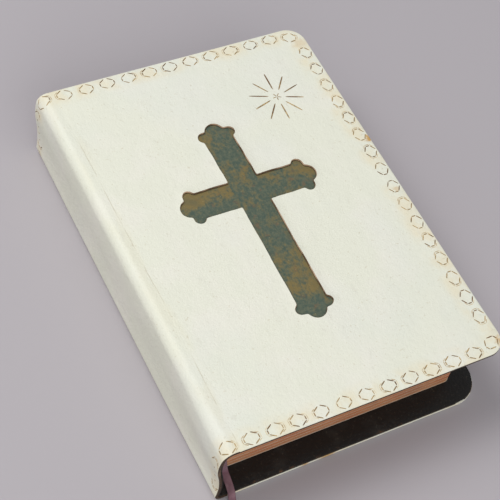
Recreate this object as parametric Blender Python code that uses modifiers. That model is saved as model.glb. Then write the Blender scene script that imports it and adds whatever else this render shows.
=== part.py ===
"""Leather-bound prayer book, lying closed on its back cover.

X runs from the spine (-X) to the fore-edge (+X), Y from the tail (-Y) to the head (+Y), and Z up
through the front cover. The origin is the centre of the book's footprint on the table. Lengths are
in metres.

The book is a flexible full-leather binding. Black liners face the insides of the covers, twelve
sewn signatures make the block, and a ribbon marker lies in its middle opening. The spine is split
at mid-height, where the leather folds back on itself when the book is opened flat in the middle.
"""
from math import cos, pi, radians, sin

import bmesh
import bpy
from mathutils import Matrix, Vector

# Driving dimensions of the closed book
BOOK_WIDTH = 0.120
BOOK_HEIGHT = 0.175
BOOK_THICKNESS = 0.036
LEATHER = 0.0012
LINER = 0.0006
LEAF = 0.0002
GAP = 0.0003
SQUARE = 0.010
SPINE_ROUNDING = 0.0045
SPINE_FLAT = 0.0006
FRONT_CORNER_RADIUS = 0.008
BACK_CORNER_RADIUS = 0.012
PAGE_CORNER_RADIUS = 0.003
SIGNATURES_PER_HALF = 6
TAPE_WIDTH = 0.012
TAPE_PLACES = (("head", 0.048), ("middle", 0.0), ("tail", -0.048))
BAND_RADIUS = 0.001
LINER_INSET = 0.0004
PARED_EDGE = 0.0003

# The cross sunk into the front cover: each arm by its direction and the reach of its end lobe
CROSS_CENTRE = Vector((0.0, 0.0139, BOOK_THICKNESS))
CROSS_SINK = 0.0004
CROSS_HALF_WIDTH = 0.0062
CROSS_ARMS = (("head", 90.0, 0.0320), ("fore", 0.0, 0.0260), ("tail", 270.0, 0.0588),
              ("spine", 180.0, 0.0260))
END_LOBE_RADIUS = 0.0038
SIDE_LOBE_RADIUS = 0.0022
SIDE_LOBE_SETBACK = 0.0018

# Edges of the closed book, worked out from the driving dimensions
SPINE_X = -BOOK_WIDTH / 2
FORE_X = BOOK_WIDTH / 2
HEAD_Y = BOOK_HEIGHT / 2
MID_Z = BOOK_THICKNESS / 2
COVER_THICKNESS = LEATHER + GAP + LINER
PANEL_X = SPINE_X + SPINE_ROUNDING + GAP
LINING_OUT = LEATHER + GAP
TAPE_OUT = LINING_OUT + GAP + GAP
PAGES_X = SPINE_X + TAPE_OUT + GAP + GAP
PAGES_FORE_X = FORE_X - SQUARE
PAGES_Y = HEAD_Y - SQUARE
FLYLEAF_Z = COVER_THICKNESS + GAP
BLOCK_Z = FLYLEAF_Z + LEAF + GAP
CENTRE_LEAF_X = PAGES_X + GAP

# The ribbon's own route: x from the spine's outer face, y and z in the book's frame
RIBBON_WIDTH = 0.0030
RIBBON_THICKNESS = 0.0002
RIBBON_ROUTE = (
    (0.0062, 0.0755, 0.01745),
    (0.0062, 0.0500, 0.01745),
    (0.0061, 0.0200, 0.01745),
    (0.0060, -0.0100, 0.01745),
    (0.0059, -0.0400, 0.01745),
    (0.0058, -0.0620, 0.01745),
    (0.0058, -0.0740, 0.01745),
    (0.0059, -0.0770, 0.01735),
    (0.0061, -0.0781, 0.01640),
    (0.0066, -0.0784, 0.01400),
    (0.0074, -0.0785, 0.00950),
    (0.0082, -0.0786, 0.00500),
    (0.0085, -0.0792, 0.00300),
    (0.0084, -0.0806, 0.00250),
    (0.0080, -0.0840, 0.00245),
    (0.0075, -0.0868, 0.00245),
    (0.0072, -0.0883, 0.00205),
    (0.0070, -0.0892, 0.00095),
    (0.0068, -0.0905, 0.00025),
    (0.0064, -0.0940, 0.00018),
    (0.0058, -0.1010, 0.00018),
    (0.0060, -0.1090, 0.00018),
    (0.0072, -0.1170, 0.00018),
    (0.0088, -0.1240, 0.00018),
    (0.0096, -0.1290, 0.00018),
)

# Hinge axes, all parallel to Y
BACK_HINGE = Vector((SPINE_X, 0.0, -GAP))
MIDDLE_HINGE = Vector((SPINE_X - GAP, 0.0, MID_Z))
FRONT_HINGE = Vector((SPINE_X, 0.0, BOOK_THICKNESS + GAP))
FLYLEAF_SETBACK = 0.0054
MIN_STEP = 1e-6


def clear_scene():
    for obj in list(bpy.data.objects):
        bpy.data.objects.remove(obj, do_unlink=True)


def new_collection(name):
    collection = bpy.data.collections.new(name)
    bpy.context.scene.collection.children.link(collection)
    return collection


def principled(name, colour, roughness, metallic=0.0):
    material = bpy.data.materials.new(name)
    material.use_nodes = True
    shader = material.node_tree.nodes["Principled BSDF"]
    shader.inputs["Base Color"].default_value = (*colour, 1.0)
    shader.inputs["Roughness"].default_value = roughness
    shader.inputs["Metallic"].default_value = metallic
    return material


def hinge_empty(name, place, parent=None):
    """An empty on a hinge axis; the pieces that turn with it are its children."""
    empty = bpy.data.objects.new(name, None)
    empty.empty_display_size = 0.01
    BOOK.objects.link(empty)
    attach(empty, parent)
    empty.matrix_world = Matrix.Translation(place)
    return empty


def attach(obj, parent):
    """Parents obj and leaves it where it is in the world."""
    if parent is None:
        return
    bpy.context.view_layer.update()
    obj.parent = parent
    obj.matrix_parent_inverse = parent.matrix_world.inverted()


def add_piece(name, mesh_data, material, parent, collection=None):
    """Turns a finished bmesh into a named object with its own material."""
    mesh = bpy.data.meshes.new(name)
    mesh_data.to_mesh(mesh)
    mesh_data.free()
    mesh.materials.append(material)
    obj = bpy.data.objects.new(name, mesh)
    (collection or BOOK).objects.link(obj)
    attach(obj, parent)
    return obj


def box(low, high):
    """A box between two corners, as a bmesh."""
    size = [b - a for a, b in zip(low, high)]
    centre = [(a + b) / 2 for a, b in zip(low, high)]
    data = bmesh.new()
    bmesh.ops.create_cube(data, size=1.0)
    bmesh.ops.scale(data, vec=size, verts=data.verts)
    bmesh.ops.translate(data, vec=centre, verts=data.verts)
    return data


def round_edges(data, radius, segments, wanted):
    """Rounds the edges whose two ends both satisfy wanted(point)."""
    edges = [e for e in data.edges if all(wanted(v.co) for v in e.verts)]
    bmesh.ops.bevel(data, geom=edges, offset=radius, segments=segments, profile=0.5,
                    affect="EDGES", material=-1)


def upright_fore_edge(data, radius, segments):
    """Rounds the two upright edges at the fore-edge of a plate."""
    fore_x = max(v.co.x for v in data.verts)
    edges = []
    for edge in data.edges:
        a, b = (v.co for v in edge.verts)
        if abs(a.z - b.z) > MIN_STEP and min(a.x, b.x) > fore_x - MIN_STEP:
            edges.append(edge)
    bmesh.ops.bevel(data, geom=edges, offset=radius, segments=segments, profile=0.5,
                    affect="EDGES", material=-1)


def cover_plate(name, low_z, thickness, inset, corner_radius, material, parent):
    """One sheet of a cover, square at the hinge and with round corners at the fore-edge."""
    low = (PANEL_X, -HEAD_Y + inset, low_z)
    high = (FORE_X - inset, HEAD_Y - inset, low_z + thickness)
    data = box(low, high)
    upright_fore_edge(data, corner_radius - inset, 8)
    return add_piece(name, data, material, parent)


def soften_rim(obj, radius):
    """A small Bevel on the outer rim, where leather is pared and painted."""
    bevel = obj.modifiers.new("Pared edge", "BEVEL")
    bevel.width = radius
    bevel.segments = 2
    bevel.limit_method = "ANGLE"
    bevel.angle_limit = radians(60)


def spine_profile(depth, upper):
    """Half the spine's section at a depth under its outer face, from the flange to mid-height."""
    arc_centre = SPINE_ROUNDING - SPINE_FLAT
    radius = arc_centre - depth
    steps = 6
    points = [(SPINE_X + SPINE_ROUNDING, depth)]
    for step in range(steps + 1):
        angle = pi / 2 * step / steps
        points.append((SPINE_X + arc_centre - radius * sin(angle), arc_centre - radius * cos(angle)))
    points.append((SPINE_X + depth, MID_Z - GAP / 2))
    if upper:
        points = [(x, BOOK_THICKNESS - z) for x, z in points]
    return points


def spine_strip(name, depth, thickness, inset, upper, material, parent):
    """A bent sheet along the spine: a section drawn out along Y and thickened inwards."""
    data = bmesh.new()
    verts = [data.verts.new((x, -HEAD_Y + inset, z)) for x, z in spine_profile(depth, upper)]
    edges = [data.edges.new(pair) for pair in zip(verts, verts[1:])]
    swept = bmesh.ops.extrude_edge_only(data, edges=edges)
    moved = [v for v in swept["geom"] if isinstance(v, bmesh.types.BMVert)]
    bmesh.ops.translate(data, vec=(0.0, BOOK_HEIGHT - 2 * inset, 0.0), verts=moved)
    data.normal_update()
    spine_face = min(data.faces, key=lambda face: face.calc_center_median().x)
    if spine_face.normal.x > 0:
        bmesh.ops.reverse_faces(data, faces=data.faces)
    obj = add_piece(name, data, material, parent)
    solidify = obj.modifiers.new("Thickness", "SOLIDIFY")
    solidify.thickness = thickness
    solidify.offset = -1.0
    solidify.use_even_offset = True
    obj.data.shade_smooth()
    obj.data.set_sharp_from_angle(angle=radians(40))
    return obj


def signature(name, low_z, high_z, material, parent):
    """A folded gathering of leaves: round at the fold and at its two outer corners."""
    data = box((PAGES_X, -PAGES_Y, low_z), (PAGES_FORE_X, PAGES_Y, high_z))
    upright_fore_edge(data, PAGE_CORNER_RADIUS, 4)
    fold = (high_z - low_z) * 0.45
    round_edges(data, fold, 3, lambda p: p.x < PAGES_X + MIN_STEP)
    return add_piece(name, data, material, parent)


def half_block(prefix, low_z, high_z, first, material, parent):
    """The signatures of one half of the block, numbered from the front of the book down."""
    gaps = GAP * (SIGNATURES_PER_HALF - 1)
    pitch = (high_z - low_z - gaps) / SIGNATURES_PER_HALF
    for index in range(SIGNATURES_PER_HALF):
        top = high_z - index * (pitch + GAP)
        signature(f"{prefix}_{first + index:02d}", top - pitch, top, material, parent)


def leaf(name, low_z, low_x, material, parent):
    """A single loose leaf of paper with round outer corners."""
    data = box((low_x, -PAGES_Y, low_z), (PAGES_FORE_X, PAGES_Y, low_z + LEAF))
    upright_fore_edge(data, PAGE_CORNER_RADIUS, 4)
    return add_piece(name, data, material, parent)


def end_band(name, y_side, low_z, high_z, material, parent):
    """A rolled head or tail band: a short upright cord against the end of the block."""
    place = (PAGES_X + BAND_RADIUS, y_side * (PAGES_Y + GAP + BAND_RADIUS), (low_z + high_z) / 2)
    data = bmesh.new()
    bmesh.ops.create_cone(data, cap_ends=True, cap_tris=False, segments=12, radius1=BAND_RADIUS,
                          radius2=BAND_RADIUS, depth=high_z - low_z,
                          matrix=Matrix.Translation(place))
    obj = add_piece(name, data, material, parent)
    obj.data.shade_smooth()
    obj.data.set_sharp_from_angle(angle=radians(40))
    return obj


def sewing_tapes(suffix, low_z, high_z, material, parent):
    """Three flat tapes across the folds, which the signatures are sewn on."""
    for place, centre_y in TAPE_PLACES:
        low = (SPINE_X + TAPE_OUT, centre_y - TAPE_WIDTH / 2, low_z)
        high = (SPINE_X + TAPE_OUT + GAP, centre_y + TAPE_WIDTH / 2, high_z)
        add_piece(f"sewing_tape_{place}_{suffix}", box(low, high), material, parent)


def cross_cutters(collection):
    """Solids that sink a Latin cross with three-lobed ends into the front cover."""
    for name, angle, reach in CROSS_ARMS:
        turn = Matrix.Translation(CROSS_CENTRE) @ Matrix.Rotation(radians(angle), 4, "Z")
        bar = box((-CROSS_HALF_WIDTH, -CROSS_HALF_WIDTH, -CROSS_SINK),
                  (reach, CROSS_HALF_WIDTH, CROSS_SINK))
        bmesh.ops.transform(bar, matrix=turn, verts=bar.verts)
        add_cutter(f"cross_bar_{name}", bar, collection)
        side = (reach - SIDE_LOBE_SETBACK, CROSS_HALF_WIDTH)
        lobes = (("end", reach, 0.0, END_LOBE_RADIUS),
                 ("left", side[0], side[1], SIDE_LOBE_RADIUS),
                 ("right", side[0], -side[1], SIDE_LOBE_RADIUS))
        for lobe, along, across, radius in lobes:
            disc = bmesh.new()
            place = turn @ Matrix.Translation((along, across, 0.0))
            bmesh.ops.create_cone(disc, cap_ends=True, cap_tris=False, segments=16, radius1=radius,
                                  radius2=radius, depth=2 * CROSS_SINK, matrix=place)
            add_cutter(f"cross_lobe_{name}_{lobe}", disc, collection)


def add_cutter(name, data, collection):
    mesh = bpy.data.meshes.new(name)
    data.to_mesh(mesh)
    data.free()
    cutter = bpy.data.objects.new(name, mesh)
    cutter.display_type = "WIRE"
    cutter.hide_render = True
    collection.objects.link(cutter)


def smooth_route(points, steps):
    """A Catmull-Rom curve through the route's own points."""
    ends = [2 * points[0] - points[1], *points, 2 * points[-1] - points[-2]]
    route = []
    for index in range(len(points) - 1):
        a, b, c, d = ends[index:index + 4]
        for step in range(steps):
            t = step / steps
            route.append(0.5 * (2 * b + (c - a) * t + (2 * a - 5 * b + 4 * c - d) * t ** 2
                                + (3 * b - a - 3 * c + d) * t ** 3))
    route.append(points[-1])
    return route


def ribbon(name, material, parent):
    """A woven marker: a flat strip along its route, its width across the book."""
    half = Vector((RIBBON_WIDTH / 2, 0.0, 0.0))
    points = [Vector((SPINE_X + x, y, z)) for x, y, z in RIBBON_ROUTE]
    data = bmesh.new()
    rails = []
    for point in smooth_route(points, 3):
        rails.append((data.verts.new(point - half), data.verts.new(point + half)))
    for (a, b), (c, d) in zip(rails, rails[1:]):
        data.faces.new((a, b, d, c))
    obj = add_piece(name, data, material, parent)
    solidify = obj.modifiers.new("Weave thickness", "SOLIDIFY")
    solidify.thickness = RIBBON_THICKNESS
    solidify.offset = 0.0
    return obj


clear_scene()
BOOK = new_collection("prayer_book")
CUTTERS = new_collection("cutters")

WHITE_LEATHER = principled("white_leather", (0.80, 0.79, 0.70), 0.45)
BLACK_LINER = principled("black_liner", (0.020, 0.017, 0.015), 0.75)
BIBLE_PAPER = principled("bible_paper", (0.80, 0.74, 0.62), 0.85)
STAINED_EDGE = principled("stained_block", (0.37, 0.17, 0.11), 0.60)
LINEN = principled("linen", (0.66, 0.56, 0.40), 0.90)
BAND_SILK = principled("band_silk", (0.55, 0.42, 0.25), 0.55)
RIBBON_SILK = principled("ribbon_silk", (0.26, 0.13, 0.16), 0.50)

rear_hinge = hinge_empty("back_cover_hinge", BACK_HINGE)
middle_hinge = hinge_empty("block_opening", MIDDLE_HINGE, rear_hinge)
front_hinge = hinge_empty("front_cover_hinge", FRONT_HINGE, middle_hinge)
front_gutter = hinge_empty(
    "front_flyleaf_gutter",
    (SPINE_X + FLYLEAF_SETBACK, 0.0, BOOK_THICKNESS - FLYLEAF_Z - LEAF / 2), middle_hinge)
centre_gutter = hinge_empty("centre_leaf_gutter", (CENTRE_LEAF_X, 0.0, MID_Z), rear_hinge)
rear_gutter = hinge_empty(
    "back_flyleaf_gutter", (SPINE_X + FLYLEAF_SETBACK, 0.0, FLYLEAF_Z + LEAF / 2))

# Back cover, which the book lies on
back_leather = cover_plate("back_cover_leather", 0.0, LEATHER, 0.0, BACK_CORNER_RADIUS,
                           WHITE_LEATHER, None)
soften_rim(back_leather, PARED_EDGE)
cover_plate("back_cover_liner", LEATHER + GAP, LINER, LINER_INSET, BACK_CORNER_RADIUS,
            BLACK_LINER, None)
leaf("back_flyleaf", FLYLEAF_Z, SPINE_X + FLYLEAF_SETBACK, BIBLE_PAPER, rear_gutter)

# Front cover, with the cross sunk into it
front_leather = cover_plate("front_cover_leather", BOOK_THICKNESS - LEATHER, LEATHER, 0.0,
                            FRONT_CORNER_RADIUS, WHITE_LEATHER, front_hinge)
soften_rim(front_leather, PARED_EDGE)
cross_cutters(CUTTERS)
sunk_cross = front_leather.modifiers.new("Sunk cross", "BOOLEAN")
sunk_cross.operation = "DIFFERENCE"
sunk_cross.solver = "EXACT"
sunk_cross.operand_type = "COLLECTION"
sunk_cross.collection = CUTTERS
cover_plate("front_cover_liner", BOOK_THICKNESS - COVER_THICKNESS, LINER, LINER_INSET,
            FRONT_CORNER_RADIUS, BLACK_LINER, front_hinge)
leaf("front_flyleaf", BOOK_THICKNESS - FLYLEAF_Z - LEAF, SPINE_X + FLYLEAF_SETBACK,
     BIBLE_PAPER, front_gutter)

# The two halves of the spine and block, and the leaf and ribbon between them
FRONT_BLOCK_LOW = MID_Z + LEAF / 2 + GAP
REAR_BLOCK_HIGH = MID_Z - LEAF / 2 - GAP - RIBBON_THICKNESS - GAP
for side, upper, hinge in (("upper", True, middle_hinge), ("lower", False, rear_hinge)):
    spine_strip(f"spine_leather_{side}", 0.0, LEATHER, 0.0, upper, WHITE_LEATHER, hinge)
    spine_strip(f"spine_lining_{side}", LINING_OUT, GAP, LINER_INSET, upper, BLACK_LINER, hinge)
half_block("signature", FRONT_BLOCK_LOW, BOOK_THICKNESS - BLOCK_Z, 1, STAINED_EDGE, middle_hinge)
half_block("signature", BLOCK_Z, REAR_BLOCK_HIGH, 1 + SIGNATURES_PER_HALF, STAINED_EDGE,
           rear_hinge)
leaf("centre_leaf", MID_Z - LEAF / 2, CENTRE_LEAF_X, BIBLE_PAPER, centre_gutter)

FRONT_TRIM = (FRONT_BLOCK_LOW, BOOK_THICKNESS - SPINE_ROUNDING)
REAR_TRIM = (SPINE_ROUNDING, REAR_BLOCK_HIGH)
for suffix, (low_z, high_z), hinge in (("upper", FRONT_TRIM, middle_hinge),
                                       ("lower", REAR_TRIM, rear_hinge)):
    sewing_tapes(suffix, low_z, high_z, LINEN, hinge)
    end_band(f"headband_{suffix}", 1.0, low_z, high_z, BAND_SILK, hinge)
    end_band(f"tailband_{suffix}", -1.0, low_z, high_z, BAND_SILK, hinge)
ribbon("ribbon_marker", RIBBON_SILK, rear_hinge)
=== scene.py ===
import random
from math import atan2, copysign, cos, exp, pi, radians, sin, sqrt

import bmesh
import bpy
from mathutils import Matrix, Vector, noise
from mathutils.kdtree import KDTree


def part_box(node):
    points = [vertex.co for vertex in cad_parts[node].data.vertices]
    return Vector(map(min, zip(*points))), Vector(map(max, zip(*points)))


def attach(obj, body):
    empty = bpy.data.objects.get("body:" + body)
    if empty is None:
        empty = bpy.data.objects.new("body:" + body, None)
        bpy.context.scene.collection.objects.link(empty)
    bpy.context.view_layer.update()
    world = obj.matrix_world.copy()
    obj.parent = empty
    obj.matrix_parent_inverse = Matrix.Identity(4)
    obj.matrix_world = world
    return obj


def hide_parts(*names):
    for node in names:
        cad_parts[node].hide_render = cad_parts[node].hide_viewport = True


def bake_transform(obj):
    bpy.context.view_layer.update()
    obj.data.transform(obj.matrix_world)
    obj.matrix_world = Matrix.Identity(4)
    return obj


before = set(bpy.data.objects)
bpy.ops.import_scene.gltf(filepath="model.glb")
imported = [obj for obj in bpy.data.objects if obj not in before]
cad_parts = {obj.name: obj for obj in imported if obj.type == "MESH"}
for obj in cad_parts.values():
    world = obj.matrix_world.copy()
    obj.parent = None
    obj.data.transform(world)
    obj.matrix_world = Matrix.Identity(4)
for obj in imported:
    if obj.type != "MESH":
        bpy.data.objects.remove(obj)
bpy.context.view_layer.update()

# ---------------------------------------------------------------------------------------------
# Camera: over the tail of the book, on the spine side, looking down at the front cover through a
# lens long enough to keep the long edges nearly parallel.
camera_data = bpy.data.cameras.new("viewing_camera")
camera_data.lens = 101.6
camera_data.sensor_width = 36.0
camera = bpy.data.objects.new("viewing_camera", camera_data)
bpy.context.scene.collection.objects.link(camera)
sight = Vector((0.36564, 0.46399, -0.80686)).normalized()
rightward = Vector((0.88471, -0.44254, 0.14643))
rightward = (rightward - sight * rightward.dot(sight)).normalized()
upward = rightward.cross(sight)
camera.matrix_world = Matrix((
    (rightward.x, upward.x, -sight.x, -0.21031),
    (rightward.y, upward.y, -sight.y, -0.26266),
    (rightward.z, upward.z, -sight.z, 0.47228),
    (0.0, 0.0, 0.0, 1.0),
))
bpy.context.scene.camera = camera
bpy.context.scene.view_settings.view_transform = "Standard"

# ---------------------------------------------------------------------------------------------
# Floor and light: a plain pale floor under a large soft lamp, high and to the left, with a weaker
# one in front of it and an even grey surround.


class Value:
    """One socket of a finish. Sums and products of these add the Math nodes that they need."""

    def __init__(self, finish, socket):
        self.finish = finish
        self.socket = socket

    def maths(self, operation, *inputs):
        return self.finish.node("ShaderNodeMath", {"operation": operation}, dict(enumerate(inputs)))

    def __add__(self, other):
        return self.maths("ADD", self, other)

    def __radd__(self, other):
        return self.maths("ADD", other, self)

    def __sub__(self, other):
        return self.maths("SUBTRACT", self, other)

    def __rsub__(self, other):
        return self.maths("SUBTRACT", other, self)

    def __mul__(self, other):
        return self.maths("MULTIPLY", self, other)

    def __rmul__(self, other):
        return self.maths("MULTIPLY", other, self)

    def size(self):
        return self.maths("ABSOLUTE", self)

    def sine(self):
        return self.maths("SINE", self)

    def larger(self, other):
        return self.maths("MAXIMUM", self, other)

    def rising(self, low, high):
        """0 below low, 1 above high, and smooth in between."""
        return self.finish.node("ShaderNodeMapRange", {"interpolation_type": "SMOOTHSTEP"},
                                {"Value": self, "From Min": low, "From Max": high})


class Finish:
    """A material on one Principled shader, whose fixed properties are given by name."""

    def __init__(self, name, **fixed):
        self.material = bpy.data.materials.new(name)
        self.material.use_nodes = True
        self.tree = self.material.node_tree
        self.shader = self.tree.nodes["Principled BSDF"]
        self.set(**fixed)

    def plug(self, socket, value):
        if isinstance(value, Value):
            self.tree.links.new(value.socket, socket)
        elif socket.type == "RGBA":
            socket.default_value = (*value, 1.0)
        else:
            socket.default_value = value

    def set(self, **inputs):
        for name, value in inputs.items():
            self.plug(self.shader.inputs[name.replace("_", " ")], value)

    def node(self, kind, settings, inputs, output=0):
        """Adds a node: its settings, then its inputs by name or number, and gives one output."""
        node = self.tree.nodes.new(kind)
        for name, value in settings.items():
            setattr(node, name, value)
        for key, value in inputs.items():
            self.plug(node.inputs[key], value)
        return Value(self, node.outputs[output])

    def rest(self):
        """Where a point lies in the closed book, in metres, however the piece has bent since."""
        return self.node("ShaderNodeAttribute", {"attribute_name": "rest_place"}, {}, "Vector")

    def axes(self, place):
        return [self.node("ShaderNodeSeparateXYZ", {}, {0: place}, axis) for axis in "XYZ"]

    def drawn_out(self, place, scales):
        """The place with its three axes scaled, so that a pattern runs along one of them."""
        return self.node("ShaderNodeVectorMath", {"operation": "MULTIPLY"}, {0: place, 1: scales})

    def clouds(self, place, scale, detail=3.0, rough=0.5):
        return self.node("ShaderNodeTexNoise", {},
                         {"Vector": place, "Scale": scale, "Detail": detail, "Roughness": rough})

    def cells(self, place, scale, feature="F1"):
        return self.node("ShaderNodeTexVoronoi", {"feature": feature},
                         {"Vector": place, "Scale": scale})

    def mix(self, share, first, second):
        return self.node("ShaderNodeMix", {"data_type": "RGBA"}, {0: share, 6: first, 7: second}, 2)

    def relief(self, height, distance):
        self.set(Normal=self.node("ShaderNodeBump", {}, {"Height": height, "Distance": distance}))


floor_mesh = bpy.data.meshes.new("floor")
floor_shape = bmesh.new()
bmesh.ops.create_grid(floor_shape, x_segments=2, y_segments=2, size=2.0)
bmesh.ops.translate(floor_shape, vec=(0.0, 0.0, -0.0001), verts=floor_shape.verts)
floor_shape.to_mesh(floor_mesh)
floor_shape.free()
floor = bpy.data.objects.new("floor", floor_mesh)
bpy.context.scene.collection.objects.link(floor)
floor_paint = Finish("pale_floor", Roughness=0.85, Base_Color=(0.47, 0.44, 0.46))
floor_mesh.materials.append(floor_paint.material)

for lamp_name, spot, width, power in (("main_lamp", (-0.55, 0.60, 1.35), 0.9, 13.5),
                                      ("fill_lamp", (-0.30, -1.20, 0.75), 1.2, 8.5)):
    lamp = bpy.data.lights.new(lamp_name, "AREA")
    lamp.size = width
    lamp.energy = power
    holder = bpy.data.objects.new(lamp_name, lamp)
    holder.location = spot
    holder.rotation_euler = (-Vector(spot)).to_track_quat("-Z", "Y").to_euler()
    bpy.context.scene.collection.objects.link(holder)
surround = bpy.data.worlds.new("surround")
surround.use_nodes = True
surround.node_tree.nodes["Background"].inputs["Color"].default_value = (0.95, 0.96, 1.0, 1.0)
surround.node_tree.nodes["Background"].inputs["Strength"].default_value = 0.36
bpy.context.scene.world = surround

# ---------------------------------------------------------------------------------------------
# Case of white calf leather, one skin from the front cover over the spine to the back cover. Its
# borders and star are struck with a brass tool and its cross is let in and painted. Here it is made
# flat, struck and cut, and then turned down over the spine. It is in three lengths, which meet on
# the flat of the spine, a little way down from each cover, where nothing bends.
MM = 0.001
FLAT = 1e-6
spine_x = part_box("spine_leather_upper")[0].x
fore_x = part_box("front_cover_leather")[1].x
head_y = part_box("front_cover_leather")[1].y
top_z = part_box("front_cover_leather")[1].z
middle_z = top_z / 2
skin = top_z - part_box("front_cover_leather")[0].z
turn_radius = 3.9 * MM
turn_length = turn_radius * pi / 2
turn_x = spine_x + turn_radius
seam_drop = 9.0 * MM
seam_x = turn_x - turn_length - (seam_drop - turn_radius)
far_seam_x = seam_x - (top_z - 2 * seam_drop)
bent_to_x = turn_x + 3.0 * MM
lip_x, lip_y = 36 * MM, 56 * MM


def plate(low, high):
    """A flat board between two corners."""
    shape = bmesh.new()
    bmesh.ops.create_cube(shape, size=1.0)
    bmesh.ops.scale(shape, vec=[b - a for a, b in zip(low, high)], verts=shape.verts)
    bmesh.ops.translate(shape, vec=[(a + b) / 2 for a, b in zip(low, high)], verts=shape.verts)
    return shape


def rounded(shape, edges, radius, segments):
    bmesh.ops.bevel(shape, geom=edges, offset=radius, segments=segments, profile=0.5,
                    affect="EDGES", material=-1)


def upright_edges(shape, at_x):
    """The edges of a board that stand at one end of it."""
    return [e for e in shape.edges if abs(e.verts[0].co.z - e.verts[1].co.z) > FLAT
            and all(abs(v.co.x - at_x) < FLAT for v in e.verts)]


def rim_edges(shape, at_z, but_not_x):
    """The edges round one face of a board, without the ends that meet another length."""
    rim = [e for e in shape.edges if all(abs(v.co.z - at_z) < FLAT for v in e.verts)]
    return [e for e in rim
            if not any(all(abs(v.co.x - x) < FLAT for v in e.verts) for x in but_not_x)]


def scored(shape, axis, places):
    """Scores a board right across at each place along an axis, so that it can bend there."""
    normal = Vector([float(axis == i) for i in range(3)])
    for place in places:
        bmesh.ops.bisect_plane(shape, geom=shape.verts[:] + shape.edges[:] + shape.faces[:],
                               dist=FLAT, plane_co=normal * place, plane_no=normal)


def steps(low, high, pace):
    """Even places from just over low to just under high, about a pace apart."""
    count = max(1, round((high - low) / pace))
    return [low + (high - low) * i / count for i in range(1, count)]


def turned_down(shape):
    """Lays a flat skin over the spine: round its edge, then straight down its face."""
    for vert in shape.verts:
        x, y, z = vert.co
        beyond, reach = turn_x - x, turn_radius - (top_z - z)
        if beyond > turn_length:
            vert.co = (spine_x + turn_radius - reach, y, top_z - turn_radius - beyond + turn_length)
        elif beyond > 0.0:
            angle = beyond / turn_radius
            vert.co = (turn_x - reach * sin(angle), y, top_z - turn_radius + reach * cos(angle))


def eased(share):
    share = min(1.0, max(0.0, share))
    return share * share * (3.0 - 2.0 * share)


def cocked(shape):
    """Leans what is near the spine, out over the upper half and in under the lower one, and most at
    the tail. The two halves nearly mirror each other, so they lie back to back in an open book."""
    for vert in shape.verts:
        x, y, z = vert.co
        lean = 0.30 + 0.95 * eased((-y - 40 * MM) / (45 * MM)) + 0.4 * eased((y - 50 * MM) / (38 * MM))
        lean *= sin(pi * min(1.0, max(-1.0, z / middle_z - 1.0)))
        near = eased((spine_x + 16 * MM - x) / (11 * MM))
        vert.co.x -= (lean + 0.17 * abs(lean)) * MM * near


def turned_over(shape):
    """Turns a piece made for the front over to the back of the book."""
    bmesh.ops.scale(shape, vec=(1.0, 1.0, -1.0), verts=shape.verts)
    bmesh.ops.translate(shape, vec=(0.0, 0.0, top_z), verts=shape.verts)
    bmesh.ops.reverse_faces(shape, faces=shape.faces)


def swayed(shape, upward_only, seed):
    """The slight waves of a limp cover, none at the spine. A cover and its lining share them."""
    for vert in shape.verts:
        x, y, _ = vert.co
        away = min(1.0, max(0.0, (x - spine_x - 0.010) / 0.030))
        wave = noise.noise(Vector((x * 16.0, y * 16.0, seed)))
        if upward_only:
            wave = wave * 0.5 + 0.5
        vert.co.z += 0.00032 * away * wave


def piece_of(name, shape, finishes, crease=35.0):
    """Makes a piece of a finished shape, smooth except across creases."""
    mesh = bpy.data.meshes.new(name)
    shape.to_mesh(mesh)
    shape.free()
    for finish in finishes:
        mesh.materials.append(finish.material)
    mesh.shade_smooth()
    mesh.set_sharp_from_angle(angle=radians(crease))
    store = mesh.attributes.new("rest_place", "FLOAT_VECTOR", "POINT")
    store.data.foreach_set("vector", [c for vert in mesh.vertices for c in vert.co])
    piece = bpy.data.objects.new(name, mesh)
    bpy.context.scene.collection.objects.link(piece)
    return piece


def cut_away(shape, tool):
    """Takes one closed shape out of another. The cut takes its finish from the tool."""
    board, blade = (bpy.data.objects.new(n, bpy.data.meshes.new(n)) for n in ("board", "blade"))
    for used, made in ((board, shape), (blade, tool)):
        made.to_mesh(used.data)
        made.free()
        bpy.context.scene.collection.objects.link(used)
    cut = board.modifiers.new("cut", "BOOLEAN")
    cut.operation = "DIFFERENCE"
    cut.solver = "EXACT"
    cut.use_self = True
    cut.object = blade
    result = bmesh.new()
    result.from_mesh(board.evaluated_get(bpy.context.evaluated_depsgraph_get()).to_mesh())
    for used in (board, blade):
        mesh = used.data
        bpy.data.objects.remove(used)
        bpy.data.meshes.remove(mesh)
    return result


LEATHER, STRUCK, PAINTED, WORN_RIM, RAW, FAINT = range(6)
strike = random.Random(41)


def dent(shape, start, end, half_width, depth, finish=STRUCK):
    """One stroke of a tool: a long shallow dent with pointed ends, struck into the top."""
    along = end - start
    place = Matrix.Translation(((start.x + end.x) / 2, (start.y + end.y) / 2, top_z))
    turn = Matrix.Rotation(atan2(along.y, along.x), 4, "Z")
    size = Matrix.Diagonal((along.length / 2, half_width, depth, 1.0))
    made = bmesh.ops.create_uvsphere(shape, u_segments=10, v_segments=6, radius=1.0)["verts"]
    for vert in made:
        vert.co.x = copysign(abs(vert.co.x) ** 0.5, vert.co.x)
    bmesh.ops.transform(shape, matrix=place @ turn @ size, verts=made)
    for face in {f for vert in made for f in vert.link_faces}:
        face.material_index = finish


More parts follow.
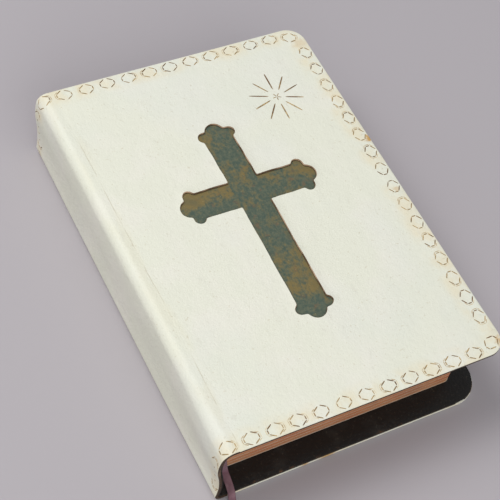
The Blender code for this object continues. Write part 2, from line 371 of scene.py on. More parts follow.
def hexagon_mark(shape, x, y, direction, halves=(-1, 1)):
    """A long hexagon struck as two halves of three bars, with a fainter double outside each."""
    along = Vector((cos(direction), sin(direction))) * MM
    across = Vector((-along.y, along.x))
    for half in halves:
        force = strike.uniform(0.30, 1.0)
        spot = Vector((x, y)) + Vector((strike.uniform(-0.2, 0.2), strike.uniform(-0.2, 0.2))) * MM

        def bars(corners, half_width, depth, finish):
            ends = [spot + along * half * u + across * v for u, v in corners]
            for start, end in zip(ends, ends[1:]):
                trim = (end - start) * 0.04
                dent(shape, start + trim, end - trim, half_width * MM, depth * MM, finish)

        bars(((0.45, 2.60), (2.95, 0.97), (2.95, -0.97), (0.45, -2.60)),
             0.18 + 0.08 * force, 0.05 + 0.16 * force, STRUCK)
        if strike.random() < 0.3 + 0.6 * force:
            bars(((2.1, 2.15), (3.65, 1.15), (3.65, -1.15), (2.1, -2.15)), 0.16, 0.05, FAINT)


def border_marks(shape):
    """Hexagons along the head, the fore-edge and the tail, and a row of pricks round the spine."""
    pitch = 9.44 * MM
    for index in range(12):
        hexagon_mark(shape, -59.1 * MM + pitch * index, 84.1 * MM, 0.0)
        hexagon_mark(shape, 46.1 * MM - pitch * index, -84.2 * MM, 0.0)
    for index in range(15):
        hexagon_mark(shape, 56.6 * MM, (62.4 - 9.52 * index) * MM, radians(90.0))
    hexagon_mark(shape, 53.8 * MM, 82.4 * MM, radians(-25.0))
    hexagon_mark(shape, 56.4 * MM, 72.4 * MM, radians(96.0))
    hexagon_mark(shape, 54.9 * MM, -82.6 * MM, radians(35.0))
    for end in (-1.0, 1.0):
        hexagon_mark(shape, -68.0 * MM, end * 84.4 * MM, 0.0, (1,))
        for prick in range(5):
            spot = Vector((-70.6 - 4.4 * prick, end * strike.uniform(84.0, 84.8))) * MM
            dent(shape, spot, spot + Vector((0.8, 0.3)) * MM, 0.34 * MM, 0.16 * MM)


def star_marks(shape):
    """A star of ten rays round a small asterisk."""
    centre = Vector((33.2, 54.4)) * MM
    for ray in range(10):
        angle = radians(16.0 + 36.0 * ray)
        heading = Vector((cos(angle), sin(angle)))
        root, tip = strike.uniform(3.4, 4.2) * MM, strike.uniform(11.5, 13.2) * MM
        dent(shape, centre + heading * root, centre + heading * tip,
             strike.uniform(0.28, 0.36) * MM, 0.20 * MM)
        if ray % 2 == 0:
            spread = Vector((cos(angle + 0.5), sin(angle + 0.5)))
            dent(shape, centre + spread * 0.2 * MM, centre + spread * 2.0 * MM, 0.20 * MM, 0.14 * MM)


cross_centre = Vector((0.0, 13.9)) * MM
cross_half = 6.2 * MM


def lobed_end(reach, lean):
    """The outline of an arm's end: three lobes, seen round a point a little way inside it."""
    eye = reach - 2.6 * MM
    lobes = ((reach, 0.0, 3.9 * MM), (reach - 1.7 * MM, 5.9 * MM, 2.1 * MM),
             (reach - 1.7 * MM, -5.9 * MM, 2.1 * MM))
    outline = []
    for step in range(-27, 28):
        angle = radians(step * 4.2)
        heading = Vector((cos(angle), sin(angle)))
        length = min(cross_half / max(abs(heading.y), 0.01), 3.2 * MM / max(heading.x, 0.01))
        for x, y, radius in lobes:
            offset = Vector((x - eye, y))
            near = offset.dot(heading)
            gap = radius ** 2 - offset.length_squared + near ** 2
            if gap > 0.0 and near + sqrt(gap) > length:
                length = near + sqrt(gap)
        point = heading * length
        outline.append(Vector((eye + point.x, point.y + lean * (eye + point.x))))
    return outline


def cross_outline():
    """Points round the painted cross, anticlockwise, with the wavering edge of knife work."""
    points = []
    for heading, reach, lean in ((0.0, 26.0, 0.0), (90.0, 32.0, 0.0), (180.0, 26.0, 0.0),
                                 (270.0, 58.7, -0.016)):
        turn = Matrix.Rotation(radians(heading), 2)
        side = reach * MM - 5.5 * MM
        arm = [Vector((cross_half + (side - cross_half) * i / 8, -cross_half)) for i in range(8)]
        arm = [Vector((p.x, p.y + lean * (p.x - cross_half))) for p in arm]
        arm += lobed_end(reach * MM, lean)
        back = [Vector((side + (cross_half - side) * i / 8, cross_half)) for i in range(8)]
        arm += [Vector((p.x, p.y + lean * (p.x - cross_half))) for p in back]
        points += [cross_centre + turn @ p for p in arm]
    wavered = []
    for point in points:
        wobble = noise.noise_vector(Vector((point.x * 180.0, point.y * 180.0, 3.0)))
        nick = noise.noise_vector(Vector((point.x * 620.0, point.y * 620.0, 8.0)))
        wavered.append(point + (wobble * 0.25 + nick * 0.11).xy * MM)
    spans = [(b - a).length for a, b in zip(wavered, wavered[1:] + wavered[:1])]
    pace = sum(spans) / round(sum(spans) / (0.55 * MM))
    even, left = [], 0.0
    for index, span in enumerate(spans):
        start, stop = wavered[index], wavered[(index + 1) % len(wavered)]
        while left < span:
            even.append(start.lerp(stop, left / span))
            left += pace
        left -= span
    for _ in range(2):
        even = [(even[i - 1] + 2 * even[i] + even[(i + 1) % len(even)]) / 4
                for i in range(len(even))]
    return even


def cross_tool(outline):
    """The solid that sinks the cross: upright walls under a narrow sloping rim."""
    shape = bmesh.new()
    count = len(outline)
    rings = []
    for height, grown in ((-0.50, 0.0), (-0.12, 0.0), (0.06, 0.32)):
        verts = []
        for index, point in enumerate(outline):
            along = outline[(index + 1) % count] - outline[index - 1]
            outward = Vector((along.y, -along.x)).normalized() * grown * MM
            verts.append(shape.verts.new((*(point + outward), top_z + height * MM)))
        rings.append([shape.edges.new((verts[i - 1], verts[i])) for i in range(count)])
    for lower, upper, finish in ((0, 1, RAW), (1, 2, WORN_RIM)):
        wall = bmesh.ops.bridge_loops(shape, edges=rings[lower] + rings[upper])
        for face in wall["faces"]:
            face.material_index = finish
    for ring in (rings[0], rings[2]):
        cap = bmesh.ops.edgeloop_fill(shape, edges=ring)
        for face in cap["faces"]:
            face.material_index = PAINTED
    bmesh.ops.recalc_face_normals(shape, faces=shape.faces)
    return shape


def raised_lip(shape, outline):
    """The leather pushed up a little round the cross, most towards the head and fore-edge."""
    tree = KDTree(len(outline))
    for index, point in enumerate(outline):
        tree.insert((*point, 0.0), index)
    tree.balance()
    for vert in shape.verts:
        x, y, z = vert.co
        if z < top_z - 0.02 * MM or abs(x) > lip_x or abs(y) >= lip_y:
            continue
        nearest, _, _ = tree.find((x, y, 0.0))
        away = Vector((x - nearest.x, y - nearest.y))
        near = max(0.0, 1.0 - away.length / (3.4 * MM))
        side = 0.6 + 0.4 * away.normalized().dot(Vector((0.8, 0.6))) if away.length > FLAT else 0.6
        vert.co.z += 0.55 * MM * side * near * near


def raw_leather(shape, pared):
    """Brown shows on the flesh side and on the cut edge, below the depth that it is pared to. A
    turned-in rim stays white, but the ends of the spine are cut."""
    for face in shape.faces:
        centre = face.calc_center_median()
        depth = top_z - centre.z
        inside = centre.x < fore_x - 2 * MM and abs(centre.y) < head_y - 2 * MM
        at_spine = centre.x < turn_x + 2 * MM
        under = face.normal.z < -0.5 and (inside or at_spine or pared < skin)
        cut = 0.8 if at_spine else 0.6
        edge = abs(face.normal.z) < cut and depth > (0.1 * MM if at_spine else pared)
        if face.material_index == LEATHER and (under or edge):
            face.material_index = RAW


def creased(shape):
    """The line along the hinge where the cover has been opened over and over."""
    for vert in shape.verts:
        off = (vert.co.x - (spine_x + 6.2 * MM)) / (1.1 * MM)
        vert.co.z -= 0.07 * MM * exp(-off * off)


def case_length(low_x, high_x, corner, x_places, y_places, tools, pared, outline=None):
    """One flat length of the skin, with its rim pared, struck with its tools."""
    shape = plate((low_x, -head_y, top_z - skin), (high_x, head_y, top_z))
    joints = [x for x in (low_x, high_x) if x < fore_x - FLAT]
    if corner:
        rounded(shape, upright_edges(shape, high_x), corner, 10)
    rounded(shape, rim_edges(shape, top_z, joints), 0.45 * MM, 3)
    rounded(shape, rim_edges(shape, top_z - skin, joints), 0.20 * MM, 2)
    scored(shape, 0, x_places)
    scored(shape, 1, y_places)
    for tool in tools:
        shape = cut_away(shape, tool)
    if outline:
        raised_lip(shape, outline)
    raw_leather(shape, pared)
    creased(shape)
    return shape


def white_leather():
    finish = Finish("white_calf", Roughness=0.45, Specular_IOR_Level=0.4)
    place = finish.rest()
    x, y, _ = finish.axes(place)
    border = y.size().rising(0.0775, 0.0830).larger(x.rising(0.0490, 0.0540))
    cream = finish.clouds(place, 46.0, 4.0).rising(0.40, 0.70)
    colour = finish.mix(cream, (0.835, 0.838, 0.705), (0.865, 0.850, 0.740))
    cool = finish.clouds(place, 21.0).rising(0.48, 0.70)
    colour = finish.mix(cool * 0.5, colour, (0.80, 0.82, 0.725))
    tint = border * finish.clouds(place, 130.0, 4.0).rising(0.38, 0.66)
    colour = finish.mix(tint * 0.45, colour, (0.86, 0.74, 0.49))
    streaks = finish.clouds(finish.drawn_out(place, (1.0, 0.22, 1.0)), 190.0, 4.0)
    bend = x.rising(-0.0600, -0.0575) * (1.0 - x.rising(-0.0535, -0.0500))
    colour = finish.mix(bend * streaks.rising(0.42, 0.62) * 0.16, colour, (0.80, 0.72, 0.48))
    wander = (finish.clouds(finish.drawn_out(place, (0.1, 1.0, 0.1)), 55.0, 4.0) - 0.5) * 0.0016
    line = 1.0 - (x + wander + 0.0537).size().rising(0.00008, 0.00030)
    broken = finish.clouds(place, 90.0, 3.0).rising(0.42, 0.60)
    colour = finish.mix(line * broken * 0.55, colour, (0.60, 0.56, 0.42))
    specks = finish.clouds(place, 900.0, 2.0).rising(0.66, 0.74)
    colour = finish.mix(specks * 0.35, colour, (0.58, 0.50, 0.34))
    scuffs = finish.clouds(finish.drawn_out(place, (1.0, 0.4, 1.0)), 260.0, 5.0, 0.7)
    colour = finish.mix(scuffs.rising(0.60, 0.72) * 0.30, colour, (0.66, 0.64, 0.54))
    for spot, reach, strength in (((0.0592, 0.0215, 0.0358), 0.0026, 0.95),
                                  ((0.0570, -0.0060, 0.0360), 0.0022, 0.40),
                                  ((0.0588, -0.0835, 0.0355), 0.0030, 0.70),
                                  ((0.0560, 0.0780, 0.0360), 0.0040, 0.25),
                                  ((-0.0120, -0.0872, 0.0008), 0.0060, 0.90),
                                  ((-0.0210, -0.0872, 0.0008), 0.0030, 0.80)):
        far = finish.node("ShaderNodeVectorMath", {"operation": "DISTANCE"},
                          {0: place, 1: spot}, "Value")
        ragged = far + (finish.clouds(place, 420.0) - 0.5) * 0.006
        worn = 1.0 - ragged.rising(0.15 * reach, reach)
        colour = finish.mix(worn * strength, colour, (0.62, 0.36, 0.10))
    finish.set(Base_Color=colour, Roughness=0.40 + 0.18 * finish.clouds(place, 75.0))
    grain = finish.cells(place, 1500.0) * 0.35 + finish.clouds(place, 520.0, 5.0, 0.6) * 0.9
    ripple = finish.clouds(finish.drawn_out(place, (1.0, 0.5, 1.0)), 85.0, 3.0) * 2.2
    finish.relief(grain + ripple, 0.00022)
    return finish


def struck_leather():
    finish = Finish("struck_lines", Roughness=0.6, Specular_IOR_Level=0.3)
    place = finish.rest()
    faint = finish.clouds(place, 135.0, 2.0).rising(0.34, 0.62)
    colour = finish.mix(faint, (0.20, 0.105, 0.040), (0.56, 0.41, 0.20))
    dark = finish.clouds(place, 700.0, 2.0).rising(0.45, 0.60)
    finish.set(Base_Color=finish.mix(dark * 0.5, colour, (0.12, 0.075, 0.035)))
    finish.relief(finish.clouds(place, 1500.0), 0.00010)
    return finish


def faint_leather():
    finish = Finish("faint_lines", Roughness=0.55, Specular_IOR_Level=0.35)
    place = finish.rest()
    worn = finish.clouds(place, 210.0, 3.0).rising(0.36, 0.62)
    finish.set(Base_Color=finish.mix(worn, (0.50, 0.36, 0.18), (0.78, 0.68, 0.46)))
    finish.relief(finish.clouds(place, 1500.0), 0.00008)
    return finish


def verdigris_paint():
    finish = Finish("verdigris_bronze", Roughness=0.5, Specular_IOR_Level=0.35)
    place = finish.rest()
    x, y, _ = finish.axes(place)
    upright = 1.0 - x.size().rising(0.0058, 0.0066)
    along_stem = finish.clouds(finish.drawn_out(place, (1.0, 0.55, 1.0)), 260.0, 6.0, 0.7)
    along_arms = finish.clouds(finish.drawn_out(place, (0.55, 1.0, 1.0)), 260.0, 6.0, 0.7)
    brushed = along_stem * upright + along_arms * (1.0 - upright)
    patches = finish.clouds(place, 75.0, 3.0)
    hairs = finish.clouds(finish.drawn_out(place, (0.8, 0.6, 1.0)), 900.0, 5.0, 0.7)
    low_stem = upright * (1.0 - (y + 0.026).size().rising(0.004, 0.016))
    # Painted highlight: the half of each arm towards the head, where the lamp falls, is given more gilt
    # and so more metallic shine.
    painted_highlight_arms = (1.0 - upright) * y.rising(0.0120, 0.0165)
    tail_end = 1.0 - y.rising(-0.043, -0.036)
    patina_bias_and_painted_highlight = low_stem * 0.09 + painted_highlight_arms * 0.09 - tail_end * 0.07
    # The gilt mask is real bronze patina plus the painted highlight on the arms.
    gilt_and_painted_highlight = (brushed * 0.42 + patches * 0.42 + hairs * 0.36 + patina_bias_and_painted_highlight).rising(0.56, 0.73)
    green = finish.mix(hairs.rising(0.35, 0.65), (0.068, 0.100, 0.074), (0.120, 0.142, 0.095))
    colour = finish.mix(gilt_and_painted_highlight * 0.85, green, (0.265, 0.195, 0.070))
    rust = finish.clouds(place, 330.0, 4.0).rising(0.60, 0.74)
    colour = finish.mix(rust * 0.35, colour, (0.24, 0.11, 0.05))
    blue = finish.clouds(place, 95.0, 2.0).rising(0.55, 0.72)
    colour = finish.mix(blue * 0.30, colour, (0.065, 0.105, 0.086))
    specks = finish.clouds(place, 1300.0, 2.0).rising(0.66, 0.76)
    colour = finish.mix(specks * 0.6, colour, (0.36, 0.30, 0.15))
    finish.set(Base_Color=colour, Roughness=0.38 + 0.30 * brushed, Metallic=gilt_and_painted_highlight * 0.35)
    finish.relief(brushed * 1.2 + finish.clouds(place, 900.0) * 0.5, 0.00016)
    return finish


def worn_rim():
    finish = Finish("cross_rim", Roughness=0.6)
    place = finish.rest()
    worn = finish.clouds(place, 160.0, 4.0).rising(0.40, 0.62)
    finish.set(Base_Color=finish.mix(worn, (0.16, 0.095, 0.050), (0.62, 0.42, 0.27)))
    finish.relief(finish.clouds(place, 1200.0), 0.0001)
    return finish


def raw_brown():
    finish = Finish("raw_leather", Roughness=0.75)
    place = finish.rest()
    fibres = finish.clouds(finish.drawn_out(place, (1.0, 1.0, 2.4)), 900.0, 5.0, 0.7)
    colour = finish.mix(fibres.rising(0.35, 0.65), (0.022, 0.013, 0.009), (0.10, 0.055, 0.028))
    pale = finish.clouds(place, 210.0).rising(0.60, 0.72)
    finish.set(Base_Color=finish.mix(pale * 0.40, colour, (0.32, 0.21, 0.11)))
    finish.relief(fibres, 0.00025)
    return finish


skin_finishes = (white_leather(), struck_leather(), verdigris_paint(), worn_rim(), raw_brown(),
                 faint_leather())
bend_places = steps(seam_x, bent_to_x, 0.55 * MM) + [bent_to_x]
edge_x, edge_y = fore_x - 1.0 * MM, head_y - 1.0 * MM
front_x = bend_places + steps(bent_to_x, -lip_x, 4 * MM) + [-lip_x]
front_x += steps(-lip_x, lip_x, 1.5 * MM) + [lip_x] + steps(lip_x, edge_x, 4 * MM)
front_y = steps(-edge_y, -lip_y, 4 * MM) + [-lip_y] + steps(-lip_y, lip_y, 1.5 * MM) + [lip_y]
front_y += steps(lip_y, edge_y, 4 * MM)
back_x = bend_places + steps(bent_to_x, edge_x, 4 * MM)
spine_places = steps(far_seam_x, seam_x, 0.6 * MM)
even_y = steps(-edge_y, edge_y, 4 * MM)

strokes = bmesh.new()
border_marks(strokes)
border_and_star = strokes.copy()
star_marks(border_and_star)
outline = cross_outline()

front_skin = case_length(seam_x, fore_x, 8 * MM, front_x, front_y,
                         (cross_tool(outline), border_and_star), 0.12 * MM, outline)
turned_down(front_skin)
cocked(front_skin)
swayed(front_skin, False, 1.0)
cover_front = piece_of("cover_front", front_skin, skin_finishes)
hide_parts("front_cover_leather")
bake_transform(cover_front)

spine_skin = case_length(far_seam_x, seam_x, 0.0, spine_places, even_y, (strokes.copy(),), skin)
turned_down(spine_skin)
cocked(spine_skin)
cover_spine = piece_of("cover_spine", spine_skin, skin_finishes)
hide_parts("spine_leather_upper", "spine_leather_lower")
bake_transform(cover_spine)

back_skin = case_length(seam_x, fore_x, 12 * MM, back_x, even_y, (strokes,), 2 * skin)
turned_down(back_skin)
turned_over(back_skin)
cocked(back_skin)
swayed(back_skin, True, 5.0)
cover_back = piece_of("cover_back", back_skin, skin_finishes)
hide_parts("back_cover_leather")
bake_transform(cover_back)

# ---------------------------------------------------------------------------------------------
# Lining of black pebbled paper, pasted inside the case from edge to edge and round the spine. It is
# bent with the skin over it, in the same three lengths.
lining_drop = top_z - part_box("front_cover_liner")[1].z
lining = 0.5 * MM
lining_inset = head_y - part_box("front_cover_liner")[1].y


def black_lining():
    finish = Finish("black_pebbled_paper", Roughness=0.6, Specular_IOR_Level=0.35)
    place = finish.rest()
    x, y, _ = finish.axes(place)
    rubbed = finish.clouds(place, 85.0, 5.0, 0.7).rising(0.50, 0.72)
    colour = finish.mix(rubbed, (0.0125, 0.0115, 0.0100), (0.030, 0.027, 0.022))
    dust = finish.clouds(place, 1100.0, 3.0).rising(0.60, 0.72)
    colour = finish.mix(dust * 0.45, colour, (0.075, 0.065, 0.050))
    edge = y.size().rising(0.0858, 0.0872).larger(x.rising(0.0584, 0.0597))
    frayed = edge * finish.clouds(place, 170.0, 5.0, 0.7).rising(0.56, 0.68)
    colour = finish.mix(frayed * 0.7, colour, (0.17, 0.085, 0.035))
    finish.set(Base_Color=colour, Roughness=0.50 + 0.25 * rubbed)
    finish.relief(finish.cells(place, 1100.0) * 0.8 + finish.clouds(place, 400.0) * 0.6, 0.00018)
    return finish


def lining_length(low_x, high_x, corner, x_places):
    shape = plate((low_x, -head_y + lining_inset, top_z - lining_drop - lining),
                  (high_x, head_y - lining_inset, top_z - lining_drop))
    joints = [x for x in (low_x, high_x) if x < fore_x - 1.0 * MM]
    if corner:
        rounded(shape, upright_edges(shape, high_x), corner, 8)
    rounded(shape, rim_edges(shape, top_z - lining_drop - lining, joints), 0.15 * MM, 2)
    scored(shape, 0, x_places)
    scored(shape, 1, even_y)
    turned_down(shape)
    return shape


lining_finish = (black_lining(),)
front_lining = lining_length(seam_x, fore_x - lining_inset, 7.6 * MM, back_x)
cocked(front_lining)
swayed(front_lining, False, 1.0)
lining_front = piece_of("lining_front", front_lining, lining_finish)
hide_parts("front_cover_liner")
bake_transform(lining_front)
spine_lining = lining_length(far_seam_x, seam_x, 0.0, spine_places)
cocked(spine_lining)
lining_spine = piece_of("lining_spine", spine_lining, lining_finish)
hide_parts("spine_lining_upper", "spine_lining_lower")
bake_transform(lining_spine)
back_lining = lining_length(seam_x, fore_x - lining_inset, 11.6 * MM, back_x)
turned_over(back_lining)
cocked(back_lining)
swayed(back_lining, True, 5.0)
lining_back = piece_of("lining_back", back_lining, lining_finish)
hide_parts("back_cover_liner")
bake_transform(lining_back)

# ---------------------------------------------------------------------------------------------
# Block: twelve gatherings of thin printing paper, each folded at the spine and sewn through. Their
# cut edges were stained copper red. Each is a stack of leaves that don't quite line up.
PAPER, STAINED = range(2)
page_corner = 3 * MM
deckle = random.Random(12)


def thin_paper():
    finish = Finish("thin_paper", Roughness=0.85, Specular_IOR_Level=0.2)
    place = finish.rest()
    aged = finish.clouds(place, 30.0, 4.0).rising(0.35, 0.70)
    colour = finish.mix(aged, (0.79, 0.73, 0.60), (0.72, 0.63, 0.46))
    fibres = finish.clouds(finish.drawn_out(place, (1.0, 0.5, 1.0)), 1600.0, 4.0)
    finish.set(Base_Color=finish.mix(fibres.rising(0.60, 0.75) * 0.3, colour, (0.60, 0.50, 0.34)))
    finish.relief(finish.clouds(place, 700.0, 4.0), 0.00006)
    return finish


def stained_edges():
    finish = Finish("stained_edges", Roughness=0.5, Specular_IOR_Level=0.4)
    place = finish.rest()
    leaves = finish.clouds(finish.drawn_out(place, (22.0, 22.0, 3400.0)), 1.0, 5.0, 0.7)
    colour = finish.mix(leaves.rising(0.30, 0.70), (0.50, 0.175, 0.075), (0.70, 0.315, 0.145))
    rubbed = finish.clouds(finish.drawn_out(place, (55.0, 55.0, 900.0)), 1.0, 4.0)
    colour = finish.mix(rubbed.rising(0.55, 0.75) * 0.6, colour, (0.64, 0.41, 0.25))
    redder = finish.clouds(finish.drawn_out(place, (60.0, 60.0, 260.0)), 1.0, 3.0)
    colour = finish.mix(redder.rising(0.52, 0.70) * 0.5, colour, (0.52, 0.125, 0.060))
    grimy = finish.clouds(place, 70.0, 3.0).rising(0.52, 0.75)
    finish.set(Base_Color=finish.mix(grimy * 0.35, colour, (0.28, 0.135, 0.09)))
    finish.relief(leaves, 0.00035)
    return finish


def paper_and_edges(shape):
    """Plain paper on the faces of a leaf and stain on its cut edges."""
    for face in shape.faces:
        face.material_index = PAPER if abs(face.normal.z) > 0.75 else STAINED


def gathering(low, high):
    """A folded gathering: leaves in four packets, rounded at the fold and cut at the edges."""
    shape = bmesh.new()
    packets = 4
    pitch = (high.z - low.z) / packets
    for packet in range(packets):
        inset = deckle.uniform(0.0, 0.10) * MM
        slip = deckle.uniform(0.0, 0.22) * MM
        base = low.z + pitch * packet
        leaf = plate((low.x + 0.1 * MM, low.y + inset, base + 0.005 * MM),
                     (high.x - slip, high.y - deckle.uniform(0.0, 0.10) * MM,
                      base + pitch - 0.005 * MM))
        rounded(leaf, upright_edges(leaf, high.x - slip), page_corner, 5)
        for face_z in (base + 0.005 * MM, base + pitch - 0.005 * MM):
            rounded(leaf, rim_edges(leaf, face_z, (low.x + 0.1 * MM,)), 0.03 * MM, 1)
        scored(leaf, 0, steps(low.x, high.x - 4 * MM, 12 * MM))
        scored(leaf, 0, [low.x + d * MM for d in (0.15, 0.35, 0.7, 1.2)])
        fold_z = (low.z + high.z) / 2
        for vert in leaf.verts:
            into = max(0.0, 1.0 - (vert.co.x - low.x) / (1.3 * MM))
            vert.co.z += (fold_z - vert.co.z) * 0.55 * into * into
        paper_and_edges(leaf)
        mesh = bpy.data.meshes.new("packet")
        leaf.to_mesh(mesh)
        leaf.free()
        shape.from_mesh(mesh)
        bpy.data.meshes.remove(mesh)
    cocked(shape)
    return shape


page_finishes = (thin_paper(), stained_edges())
for number in range(1, 13):
    node = f"signature_{number:02d}"
    pages = piece_of(f"pages_{number:02d}", gathering(*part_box(node)), page_finishes, 30.0)
    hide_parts(node)
    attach(pages, "front_half" if number < 7 else "rear_half")

# ---------------------------------------------------------------------------------------------
# Loose leaves: a flyleaf inside each cover, a leaf in the middle opening, and the folded sheet that
# joins the two halves of the block there. Each is cut finely near the gutter.
def loose_leaf(name, node, curl, low_x=None):
    """A leaf with round outer corners, scored near its gutter."""
    low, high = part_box(node)
    leaf_z = (low.z + high.z) / 2
    start = low.x if low_x is None else low_x
    shape = plate((start, low.y, leaf_z - 0.06 * MM), (high.x, high.y, leaf_z + 0.06 * MM))
    rounded(shape, upright_edges(shape, high.x), page_corner, 6)
    scored(shape, 0, steps(start, start + 14 * MM, 0.8 * MM) + steps(start + 14 * MM, high.x, 6 * MM))
    scored(shape, 1, steps(low.y, high.y, 8 * MM))
    paper_and_edges(shape)
    for vert in shape.verts:
        vert.co.z += curl * noise.noise(Vector((vert.co.x * 30.0, vert.co.y * 30.0, 9.0)))
    cocked(shape)
    piece = piece_of(name, shape, page_finishes, 30.0)
    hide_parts(node)
    return piece


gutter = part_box("front_flyleaf")[0].x
leaf_front = loose_leaf("leaf_front", "front_flyleaf", 0.00005, gutter - 1.6 * MM)
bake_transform(leaf_front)
leaf_back = loose_leaf("leaf_back", "back_flyleaf", 0.00005, gutter - 1.6 * MM)
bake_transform(leaf_back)
leaf_centre = loose_leaf("leaf_centre", "centre_leaf", 0.0)
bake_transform(leaf_centre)


def folded_sheet(low, high, legs):
    """Two conjugate leaves: a flat strip's section drawn along Y, round a tight fold."""
    shape = bmesh.new()
    lower, upper = legs
    radius = (upper - lower) / 2
    places = [high.x] + [low.x + d * MM for d in (14, 10, 7, 5, 3.5, 2.5, 1.5, 0.8)]
    turns = [radians(angle) for angle in range(0, 181, 6)]
    section = [(x, lower) for x in places]
    section += [(low.x + radius * (1.0 - sin(t)), (lower + upper) / 2 - radius * cos(t)) for t in turns]
    section += [(x, upper) for x in reversed(places)]
    verts = [shape.verts.new((x, low.y, z)) for x, z in section]
    edges = [shape.edges.new(pair) for pair in zip(verts, verts[1:])]
    swept = bmesh.ops.extrude_edge_only(shape, edges=edges)
    moved = [g for g in swept["geom"] if isinstance(g, bmesh.types.BMVert)]
    bmesh.ops.translate(shape, vec=(0.0, high.y - low.y, 0.0), verts=moved)
    bmesh.ops.recalc_face_normals(shape, faces=shape.faces)
    bmesh.ops.solidify(shape, geom=shape.faces[:], thickness=0.08 * MM)
    return shape


centre_low, centre_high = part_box("centre_leaf")
fold_low = Vector((centre_low.x - 0.45 * MM, centre_low.y, 0.0))
fold_shape = folded_sheet(fold_low, centre_high, (middle_z - 0.22 * MM, middle_z + 0.24 * MM))
sheet_centre = piece_of("sheet_centre", fold_shape, (page_finishes[0],), 50.0)
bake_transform(sheet_centre)

# ---------------------------------------------------------------------------------------------
# Linen tapes, which the gatherings are sewn on, and worked bands of tan silk at the head and tail of
# the block: thread wound over a core, so each is a row of beads.
tape_finish = Finish("linen_tape", Roughness=0.9, Specular_IOR_Level=0.2)
_, tape_y, tape_z = tape_finish.axes(tape_finish.node("ShaderNodeTexCoord", {}, {}, "Object"))
tape_weave = (tape_y * 9000.0).sine() * (tape_z * 9000.0).sine()
tape_finish.set(Base_Color=tape_finish.mix(tape_weave * 0.5 + 0.5, (0.44, 0.36, 0.24),
                                           (0.68, 0.59, 0.43)))
tape_finish.relief(tape_weave, 0.00008)
for tape_node in [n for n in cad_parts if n.startswith("sewing_tape")]:
    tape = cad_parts[tape_node]
    tape.data.materials.clear()
    tape.data.materials.append(tape_finish.material)

band_finish = Finish("tan_silk", Roughness=0.45, Sheen_Weight=0.3)
band_place = band_finish.rest()
strands = band_finish.clouds(band_finish.drawn_out(band_place, (1.0, 1.0, 6.0)), 900.0, 3.0)
band_finish.set(Base_Color=band_finish.mix(strands.rising(0.35, 0.65), (0.40, 0.27, 0.13),
                                           (0.66, 0.52, 0.32)))
band_finish.relief(strands, 0.00012)


def worked_band(low, high):
    """A column of beads: rings of alternate size, bridged and capped."""
    shape = bmesh.new()
    radius = (high.x - low.x) / 2
    centre = Vector(((low.x + high.x) / 2, (low.y + high.y) / 2, 0.0))
    beads = round((high.z - low.z) / (0.62 * MM))
    pitch = (high.z - low.z) / beads
    levels = []
    for bead in range(beads):
        for share, width in ((0.04, 0.62), (0.25, 0.93), (0.50, 1.0), (0.75, 0.93), (0.96, 0.62)):
            levels.append((low.z + (bead + share) * pitch, radius * width))
    below = None
    for z, width in levels:
        place = Matrix.Translation((centre.x, centre.y, z))
        ring = bmesh.ops.create_circle(shape, cap_ends=False, segments=14, radius=width,
                                       matrix=place)
        edges = list({e for v in ring["verts"] for e in v.link_edges})
        if below:
            bmesh.ops.bridge_loops(shape, edges=below + edges)
        else:
            bmesh.ops.edgeloop_fill(shape, edges=edges)
        below = edges
    bmesh.ops.edgeloop_fill(shape, edges=below)
    bmesh.ops.recalc_face_normals(shape, faces=shape.faces)
    cocked(shape)
    return shape


for end in ("headband", "tailband"):
    for level, half in (("upper", "front_half"), ("lower", "rear_half")):
        band = piece_of(f"{end}_beads_{level}", worked_band(*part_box(f"{end}_{level}")),
                        (band_finish,), 60.0)
        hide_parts(f"{end}_{level}")
        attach(band, half)

# ---------------------------------------------------------------------------------------------
# Ribbon: a place marker of dusty rose silk, laid in the middle opening. It comes out at the tail,
# hangs down the edges of the rear pages, and lies over the back lining and the edge onto the floor.
ribbon_width = 3.0 * MM
ribbon_thick = 0.2 * MM
ribbon_route = (
    (6.2, 75.5, 17.45), (6.2, 50.0, 17.45), (6.1, 20.0, 17.45), (6.0, -10.0, 17.45),
    (5.9, -40.0, 17.45), (5.8, -62.0, 17.45), (5.8, -74.0, 17.45), (5.9, -77.0, 17.35),
    (6.1, -78.1, 16.40), (6.6, -78.4, 14.00), (7.4, -78.5, 9.50), (8.2, -78.6, 5.00),
    (8.5, -79.2, 3.00), (8.4, -80.6, 2.50), (8.0, -84.0, 2.45), (7.5, -86.8, 2.45),
    (7.2, -88.3, 2.05), (7.0, -89.2, 0.95), (6.8, -90.5, 0.25), (6.4, -94.0, 0.18),
    (5.8, -101.0, 0.18), (6.0, -109.0, 0.18), (7.2, -117.0, 0.18), (8.8, -124.0, 0.18),
    (9.6, -129.0, 0.18),
)


def smooth_route(points, count):
    """A smooth curve through a route's own points."""
    ends = [2 * points[0] - points[1], *points, 2 * points[-1] - points[-2]]
    route = []
    for index in range(len(points) - 1):
        a, b, c, d = ends[index:index + 4]
        for step in range(count):
            t = step / count
            route.append(0.5 * (2 * b + (c - a) * t + (2 * a - 5 * b + 4 * c - d) * t ** 2
                                + (3 * b - a - 3 * c + d) * t ** 3))
    route.append(points[-1])
    return route


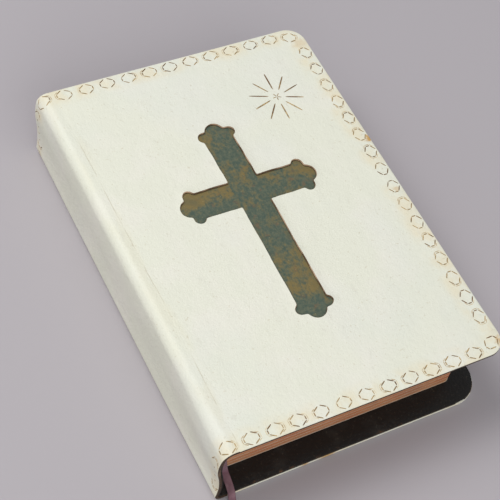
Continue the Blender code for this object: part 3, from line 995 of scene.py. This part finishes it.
path = smooth_route([Vector((spine_x + x * MM, y * MM, z * MM)) for x, y, z in ribbon_route], 4)
ribbon_length = sum((b - a).length for a, b in zip(path, path[1:]))
ribbon_shape = bmesh.new()
across = 6
weave_map = ribbon_shape.loops.layers.uv.new("weave")
row = [ribbon_shape.verts.new(path[0] + Vector((ribbon_width * (i / across - 0.5), 0.0, 0.0)))
       for i in range(across + 1)]
row_edges = [ribbon_shape.edges.new(pair) for pair in zip(row, row[1:])]
run = 0.0
for before, after in zip(path, path[1:]):
    grown = bmesh.ops.extrude_edge_only(ribbon_shape, edges=row_edges)["geom"]
    row = {g for g in grown if isinstance(g, bmesh.types.BMVert)}
    bmesh.ops.translate(ribbon_shape, vec=after - before, verts=list(row))
    row_edges = [g for g in grown if isinstance(g, bmesh.types.BMEdge) and row.issuperset(g.verts)]
    stretch = (after - before).length
    for face in (g for g in grown if isinstance(g, bmesh.types.BMFace)):
        for loop in face.loops:
            centre, reached = (after, run + stretch) if loop.vert in row else (before, run)
            width_share = (loop.vert.co.x - centre.x) / ribbon_width + 0.5
            loop[weave_map].uv = (width_share, reached / ribbon_width)
    run += stretch
bmesh.ops.recalc_face_normals(ribbon_shape, faces=ribbon_shape.faces)
bmesh.ops.solidify(ribbon_shape, geom=ribbon_shape.faces[:], thickness=ribbon_thick)

ribbon_finish = Finish("rose_silk", Roughness=0.5, Sheen_Weight=0.15)
weave = ribbon_finish.node("ShaderNodeUVMap", {"uv_map": "weave"}, {}, "UV")
weave_u, weave_v, _ = ribbon_finish.axes(weave)
ribs = (weave_v * 75.0).sine()
ribbon_place = ribbon_finish.rest()
faded = ribbon_finish.clouds(ribbon_place, 160.0, 4.0).rising(0.35, 0.65)
ribbon_tone = ribbon_finish.mix(faded, (0.34, 0.165, 0.205), (0.52, 0.30, 0.345))
# Painted shade: the ribbon is darkened from 9 mm up, where it hangs just under the overhanging covers
# at the tail.
painted_shade_high = ribbon_finish.axes(ribbon_place)[2].rising(0.0090, 0.0165)
ribbon_tone = ribbon_finish.mix(painted_shade_high * 0.90, ribbon_tone, (0.095, 0.036, 0.070))
selvedge = (weave_u - 0.5).size().rising(0.40, 0.47)
ribbon_tone = ribbon_finish.mix(selvedge * 0.5, ribbon_tone, (0.12, 0.055, 0.085))
ribbon_finish.set(Base_Color=ribbon_finish.mix((ribs * 0.5 + 0.5) * 0.35, ribbon_tone,
                                               (0.12, 0.06, 0.08)))
ribbon_finish.relief(ribs + selvedge, 0.00006)
ribbon = piece_of("ribbon", ribbon_shape, (ribbon_finish,), 50.0)
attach(ribbon, "rear_half")
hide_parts("ribbon_marker")
